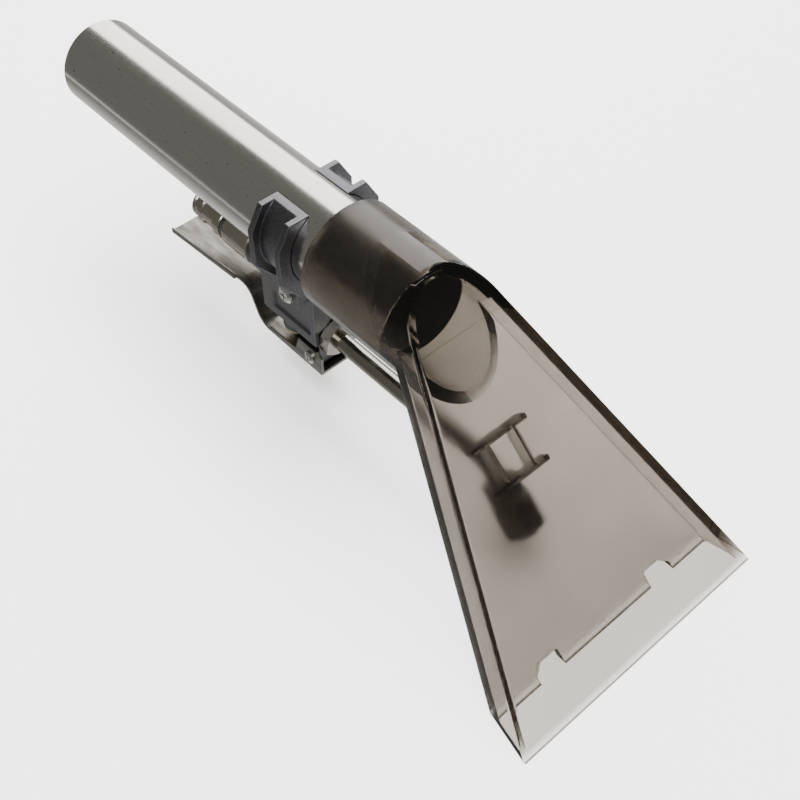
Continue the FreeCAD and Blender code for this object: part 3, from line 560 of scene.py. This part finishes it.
def combined(base, steps):
    """The mesh that is left when each (operation, solids) has been worked on the base."""
    base = loose_object("solid", base)
    tools = []
    for operation, solids in steps:
        for solid in solids:
            tools.append(loose_object("tool", solid))
            modifier = base.modifiers.new(operation, "BOOLEAN")
            modifier.operation = operation
            modifier.object = tools[-1]
            modifier.solver = "EXACT"
    bpy.context.view_layer.update()
    worked = base.evaluated_get(bpy.context.evaluated_depsgraph_get())
    shape = bmesh.new()
    shape.from_mesh(worked.to_mesh())
    for thing in (base, *tools):
        bpy.data.objects.remove(thing)
    return shape


def on_slope(x, up, out):
    """A point given across the plates, up their slope and out of the window."""
    sine, cosine = math.sin(PLATE_SLOPE), math.cos(PLATE_SLOPE)
    return Vector((x, up * cosine - out * sine, up * sine + out * cosine))


def hull_solid(points, radius):
    """The convex solid round some points, with its edges rounded."""
    shape = bmesh.new()
    for point in points:
        shape.verts.new(point)
    bmesh.ops.convex_hull(shape, input=shape.verts)
    bmesh.ops.dissolve_limit(shape, angle_limit=math.radians(0.4),
                             verts=shape.verts, edges=shape.edges)
    if radius:
        round_corners(shape, radius, 3)
    return shape


def slope_bar(xs, ups, outs, radius):
    """A bar square to the plates."""
    corners = [on_slope(x, up, out) for x in xs for up in ups for out in outs]
    return hull_solid(corners, radius)


def round_bar(radius, start, end, rim, top):
    """A rod on the tube's axis; what lies further out of the window than the top is cut off."""
    shape = bmesh.new()
    middle = Vector((0, (start + end) / 2, AXIS_Z))
    bmesh.ops.create_cone(
        shape, cap_ends=True, segments=144, radius1=radius, radius2=radius, depth=end - start,
        matrix=Matrix.Translation(middle) @ Matrix.Rotation(math.pi / 2, 4, "X"))
    if top is not None:
        cut = bmesh.ops.bisect_plane(
            shape, geom=[*shape.verts, *shape.edges, *shape.faces], dist=1e-7,
            plane_co=on_slope(0, 0, top), plane_no=on_slope(0, 0, 1), clear_outer=True)
        rims = [piece for piece in cut["geom_cut"] if isinstance(piece, bmesh.types.BMEdge)]
        bmesh.ops.edgeloop_fill(shape, edges=rims)
    if rim:
        round_corners(shape, rim, 3)
    return shape


def head_solids(look):
    """The outer fan of the head, and the (operation, solids) steps that turn it into the head."""
    half_slab = -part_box("front_window")[0].y * math.sin(PLATE_SLOPE)
    inner_slab = half_slab - WALL
    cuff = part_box("head_shell")[1].z - AXIS_Z
    foot_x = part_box("front_window")[1].x
    lip = half_slab / math.tan(PLATE_SLOPE)
    axis_up = AXIS_Z / math.sin(PLATE_SLOPE) - lip
    side_up = axis_up + cuff / math.sin(PLATE_SLOPE) * math.cos(SIDE_TURN)
    side_x = cuff * math.sin(SIDE_TURN)
    widening = (foot_x - side_x) / (side_up + lip)

    def fan(inset, half, ends, radius):
        """The flared slab from the cuff's flanks down to a front and a rear end."""
        points = []
        for sign in (-1, 1):
            for out, foot in ((half, ends[0]), (-half, ends[1])):
                across = side_x - inset + widening * (side_up - foot)
                points.append(on_slope(sign * across, foot, out))
                points.append(on_slope(sign * (side_x - inset), side_up, out))
        return hull_solid(points, radius)

    edge = look.head.edge_radius
    outer = fan(0, half_slab, (-lip, lip), edge)
    cuff_rod = round_bar(cuff, INSIDE_FAN, CUFF_REAR, edge * 1.4, half_slab)
    grown = [cuff_rod, *back_ribs((AXIS_Z - cuff) / math.sin(PLATE_SLOPE) + lip, half_slab)]

    below_mouth, inner_corner = -0.04, 0.0008
    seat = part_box("vacuum_tube")[0].y
    cut_away = [
        fan(SIDE_WALL, inner_slab, (below_mouth, below_mouth), inner_corner),
        round_bar(THROAT_RADIUS, INSIDE_FAN, seat + 0.001, 0, inner_slab),
        round_bar(SOCKET_RADIUS, seat, CUFF_REAR + 0.001, 0, None),
        *lip_notches(lip, half_slab),
        window_crease(axis_up + cuff / math.sin(PLATE_SLOPE), half_slab, look.head.crease_depth),
    ]
    return outer, [("UNION", grown), ("DIFFERENCE", cut_away)]


def back_ribs(cuff_foot, half_slab):
    """Two long and two short ribs on the outside of the back plate, below the cuff."""
    half_length, half_long_rib = 0.0134, 0.0011
    half_gap, half_short_rib = 0.00675, 0.0009
    high, low = cuff_foot - 0.0152, cuff_foot - 0.0329
    outs = (-half_slab - 0.006, -half_slab + 0.0005)
    corner = 0.0002
    ribs = [slope_bar((-half_length, half_length), (up - half_long_rib, up + half_long_rib),
                      outs, corner) for up in (low, high)]
    ribs += [slope_bar((x - half_short_rib, x + half_short_rib), (low, high), outs, corner)
             for x in (-half_gap, half_gap)]
    return ribs


def lip_notches(lip, half_slab):
    """The two notches in the back plate's lip."""
    below, top = -0.03, lip + 0.0036
    outline = ((0.023, below), (0.0236, lip + 0.003), (0.0242, top), (0.0315, top),
               (0.0323, lip + 0.0034), (0.036, lip), (0.036, below))
    outs = (-half_slab - WALL, -half_slab + WALL + 0.0005)
    return [hull_solid([on_slope(side * x, up, out) for out in outs for x, up in outline], 0)
            for side in (-1, 1)]


def window_crease(cuff_top, half_slab, depth):
    """The fine groove across the window, below the top of the cuff."""
    half_length, drop = 0.0208, 0.025
    up = cuff_top - drop
    return hull_solid([
        on_slope(x, up + across, half_slab + out) for x in (-half_length, half_length)
        for across, out in ((-depth, depth), (depth, depth), (0, -depth))], 0)


# ---------------------------------------------------------------- operators


class HANDTOOL_OT_head(bpy.types.Operator):
    """Build the clear head as one moulding with rounded edges and a creased window"""

    bl_idname = "handtool.head"
    bl_label = "Clear head"

    def execute(self, context):
        look = context.scene.hand_tool
        shape = combined(*head_solids(look))
        bmesh.ops.remove_doubles(shape, verts=shape.verts, dist=MERGE)
        bmesh.ops.dissolve_limit(shape, angle_limit=math.radians(0.2),
                                 verts=shape.verts, edges=shape.edges)
        piece = settle(shape, "clear_head", "head_shell", look)
        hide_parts("head_shell", "front_window")
        piece.visible_shadow = False
        return {"FINISHED"}


class HANDTOOL_OT_tube(bpy.types.Operator):
    """Build the wand tube, whose turned-down seat ends unseen at the cuff"""

    bl_idname = "handtool.tube"
    bl_label = "Wand tube"

    def execute(self, context):
        look = context.scene.hand_tool
        seat_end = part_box("saddle_clamp")[1].y + 0.001
        reach, gap = 0.0005, 0.0002
        shape = clean_copy("vacuum_tube")
        for point in shape.verts:
            if abs(point.co.y - seat_end) < reach:
                point.co.y = CUFF_REAR + gap
        piece = settle(shape, "wand_tube", "vacuum_tube", look)
        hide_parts("vacuum_tube")
        return {"FINISHED"}


class HANDTOOL_OT_castings(bpy.types.Operator):
    """Round and finish the cast saddle and the valve block"""

    bl_idname = "handtool.castings"
    bl_label = "Saddle and valve block"

    def execute(self, context):
        look = context.scene.hand_tool
        for name, node in (("saddle_casting", "saddle_clamp"), ("valve_casting", "valve_body")):
            rounded_piece(name, node, look.metal.casting_edge, look)
        return {"FINISHED"}


class HANDTOOL_OT_valve_parts(bpy.types.Operator):
    """Finish the plug, gland, plunger, poppet and seals of the valve"""

    bl_idname = "handtool.valve_parts"
    bl_label = "Valve parts"

    def execute(self, context):
        finish_nodes([
            "valve_top_plug", "top_plug_o_ring", "stem_gland", "stem_o_ring", "valve_plunger",
            "valve_poppet", "poppet_seal",
        ], context.scene.hand_tool)
        return {"FINISHED"}


class HANDTOOL_OT_spring(bpy.types.Operator):
    """Build the return spring, which shortens as the stem lifts"""
    # Build the return spring as a welded copy with a mesh of its own

    bl_idname = "handtool.spring"
    bl_label = "Return spring"

    def execute(self, context):
        look = context.scene.hand_tool
        piece = settle(clean_copy("valve_spring"), "return_spring", "valve_spring", look)
        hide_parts("valve_spring")
        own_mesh(piece)
        return {"FINISHED"}


class HANDTOOL_OT_trigger(bpy.types.Operator):
    """Round and finish the sheet-steel trigger"""

    bl_idname = "handtool.trigger"
    bl_label = "Trigger"

    def execute(self, context):
        look = context.scene.hand_tool
        rounded_piece("trigger_sheet", "trigger_lever", look.metal.sheet_edge, look)
        return {"FINISHED"}


class HANDTOOL_OT_fasteners(bpy.types.Operator):
    """Finish the cross-head screws and their nuts"""

    bl_idname = "handtool.fasteners"
    bl_label = "Screws and nuts"

    def execute(self, context):
        finish_nodes(["saddle_screw", "saddle_nut", "pivot_screw", "pivot_nut"],
                     context.scene.hand_tool)
        return {"FINISHED"}


class HANDTOOL_OT_inlet(bpy.types.Operator):
    """Finish the inlet adaptor, its strainer and the quick-connect plug"""

    bl_idname = "handtool.inlet"
    bl_label = "Solution inlet"

    def execute(self, context):
        finish_nodes(["inlet_adaptor", "inlet_strainer", "quick_connect_plug", "plug_o_ring"],
                     context.scene.hand_tool)
        return {"FINISHED"}


class HANDTOOL_OT_spray_line(bpy.types.Operator):
    """Finish the spray tube, its nuts and the jet"""

    bl_idname = "handtool.spray_line"
    bl_label = "Spray line and jet"

    def execute(self, context):
        finish_nodes([
            "outlet_connector", "outlet_ferrule", "outlet_nut", "spray_tube", "jet_nut",
            "jet_ferrule", "jet_body", "jet_strainer", "spray_tip", "tip_cap",
        ], context.scene.hand_tool)
        return {"FINISHED"}


def softbox(name, centre, target, size, power, colour):
    """An oblong soft lamp that faces a point."""
    lamp = bpy.data.lights.new(name, "AREA")
    lamp.shape = "RECTANGLE"
    lamp.size, lamp.size_y = size
    lamp.energy = power
    lamp.color = colour
    holder = bpy.data.objects.new(name, lamp)
    bpy.context.scene.collection.objects.link(holder)
    holder.location = centre
    aim = Vector(target) - Vector(centre)
    holder.rotation_euler = aim.to_track_quat("-Z", "Y").to_euler()
    return holder


def studio_air(tree):
    """A dim room that is brighter below the horizon and towards the softbox's side."""
    air = tree.nodes["Background"]
    place = tree.nodes.new("ShaderNodeTexCoord")
    facing = tree.nodes.new("ShaderNodeVectorMath")
    facing.operation = "DOT_PRODUCT"
    facing.inputs[1].default_value = (0.6, 0.0, -1.0)
    glow = tree.nodes.new("ShaderNodeValToRGB")
    room, lit = (0.205, 0.20, 0.185, 1.0), (1.0, 1.0, 0.98, 1.0)
    for position in (0.05, 0.09, 0.13, 0.17):
        glow.color_ramp.elements.new(position)
    levels = ((0.0, room), (0.05, room), (0.09, lit), (0.13, lit), (0.17, room), (0.85, lit))
    for stop, (position, colour) in zip(glow.color_ramp.elements, levels):
        stop.position, stop.color = position, colour
    tree.links.new(place.outputs["Generated"], facing.inputs[0])
    tree.links.new(facing.outputs["Value"], glow.inputs["Fac"])
    tree.links.new(glow.outputs["Color"], air.inputs["Color"])
    air.inputs["Strength"].default_value = 1.0


def pale_floor(colour):
    """A wide floor of fine paper under the mouth."""
    shape = bmesh.new()
    bmesh.ops.create_grid(shape, x_segments=8, y_segments=8, size=9.0)
    mesh = bpy.data.meshes.new("floor")
    shape.to_mesh(mesh)
    shape.free()
    floor = bpy.data.objects.new("floor", mesh)
    bpy.context.scene.collection.objects.link(floor)
    floor.location.z = cad_box[0].z - 0.0002
    finish = Finish("pale_paper")
    fibres = finish.noise((1.0, 1.0, 1.0), 600.0, 4.0)
    finish.surface(
        Base_Color=finish.ramp(fibres, shade(colour, 0.99), shade(colour, 1.01)),
        Roughness=0.9)
    mesh.materials.append(finish.material)
    return floor


class HANDTOOL_OT_stage(bpy.types.Operator):
    """Set up the pale floor, the soft lamps and the camera"""

    bl_idname = "handtool.stage"
    bl_label = "Stage"

    def execute(self, context):
        look = context.scene.hand_tool
        middle = (cad_box[0] + cad_box[1]) / 2
        floor = pale_floor(tuple(look.stage.floor))
        floor.visible_glossy = False

        softbox("side_softbox", (0.66, 1.05, 0.70), (0.0, 1.05, 0.087), (1.7, 1.0),
                look.stage.softbox, (1.0, 0.985, 0.96))
        softbox("front_lamp", middle + Vector((-0.85, -0.75, 1.0)), middle, (0.9, 0.9),
                look.stage.front, (1.0, 0.99, 0.98))
        ceiling = softbox("ceiling", middle + Vector((0.0, 0.0, 1.8)), middle, (2.4, 2.4),
                          look.stage.ceiling, (1.0, 1.0, 1.0))
        ceiling.visible_glossy = False
        ceiling.visible_transmission = False

        world = bpy.data.worlds.new("studio")
        context.scene.world = world
        world.use_nodes = True
        studio_air(world.node_tree)

        lens = bpy.data.cameras.new("camera")
        lens.sensor_width = 36.0
        lens.lens = look.stage.lens
        lens.clip_start, lens.clip_end = 0.01, 20.0
        camera = bpy.data.objects.new("camera", lens)
        context.scene.collection.objects.link(camera)
        right, back = CAMERA_RIGHT.normalized(), CAMERA_BACK.normalized()
        up = back.cross(right).normalized()
        turn = Matrix((right, up, back)).transposed().to_4x4()
        camera.matrix_world = Matrix.Translation(CAMERA_PLACE) @ turn
        context.scene.camera = camera
        return {"FINISHED"}


class HANDTOOL_PT_pieces(bpy.types.Panel):
    """The pieces of the hand tool and their settings"""

    bl_label = "Hand Tool"
    bl_idname = "HANDTOOL_PT_pieces"
    bl_space_type = "VIEW_3D"
    bl_region_type = "UI"
    bl_category = "Hand Tool"

    def draw(self, context):
        layout = self.layout
        look = context.scene.hand_tool
        for group in (look.head, look.metal, look.stage):
            box = layout.box()
            for name in group.bl_rna.properties.keys():
                if name not in ("rna_type", "name"):
                    box.prop(group, name)
        for operator in OPERATORS:
            layout.operator(operator.bl_idname)


class HandToolSettings(bpy.types.PropertyGroup):
    """All that a user would change."""

    head: PointerProperty(type=HeadSettings)
    metal: PointerProperty(type=MetalSettings)
    stage: PointerProperty(type=StageSettings)


OPERATORS = (
    HANDTOOL_OT_stage, HANDTOOL_OT_tube, HANDTOOL_OT_castings, HANDTOOL_OT_valve_parts,
    HANDTOOL_OT_spring, HANDTOOL_OT_trigger, HANDTOOL_OT_fasteners, HANDTOOL_OT_inlet,
    HANDTOOL_OT_spray_line, HANDTOOL_OT_head,
)
CLASSES = (HeadSettings, MetalSettings, StageSettings, HandToolSettings, *OPERATORS,
           HANDTOOL_PT_pieces)


def register():
    """Make the classes and the settings known."""
    for made in CLASSES:
        bpy.utils.register_class(made)
    bpy.types.Scene.hand_tool = PointerProperty(type=HandToolSettings)


def unregister():
    """Take the settings and the classes away again."""
    del bpy.types.Scene.hand_tool
    for made in reversed(CLASSES):
        bpy.utils.unregister_class(made)


def main():
    register()
    bpy.ops.handtool.stage()
    bpy.ops.handtool.tube()
    bpy.ops.handtool.castings()
    bpy.ops.handtool.valve_parts()
    bpy.ops.handtool.spring()
    bpy.ops.handtool.trigger()
    bpy.ops.handtool.fasteners()
    bpy.ops.handtool.inlet()
    bpy.ops.handtool.spray_line()
    bpy.ops.handtool.head()


if __name__ == "__main__":
    main()
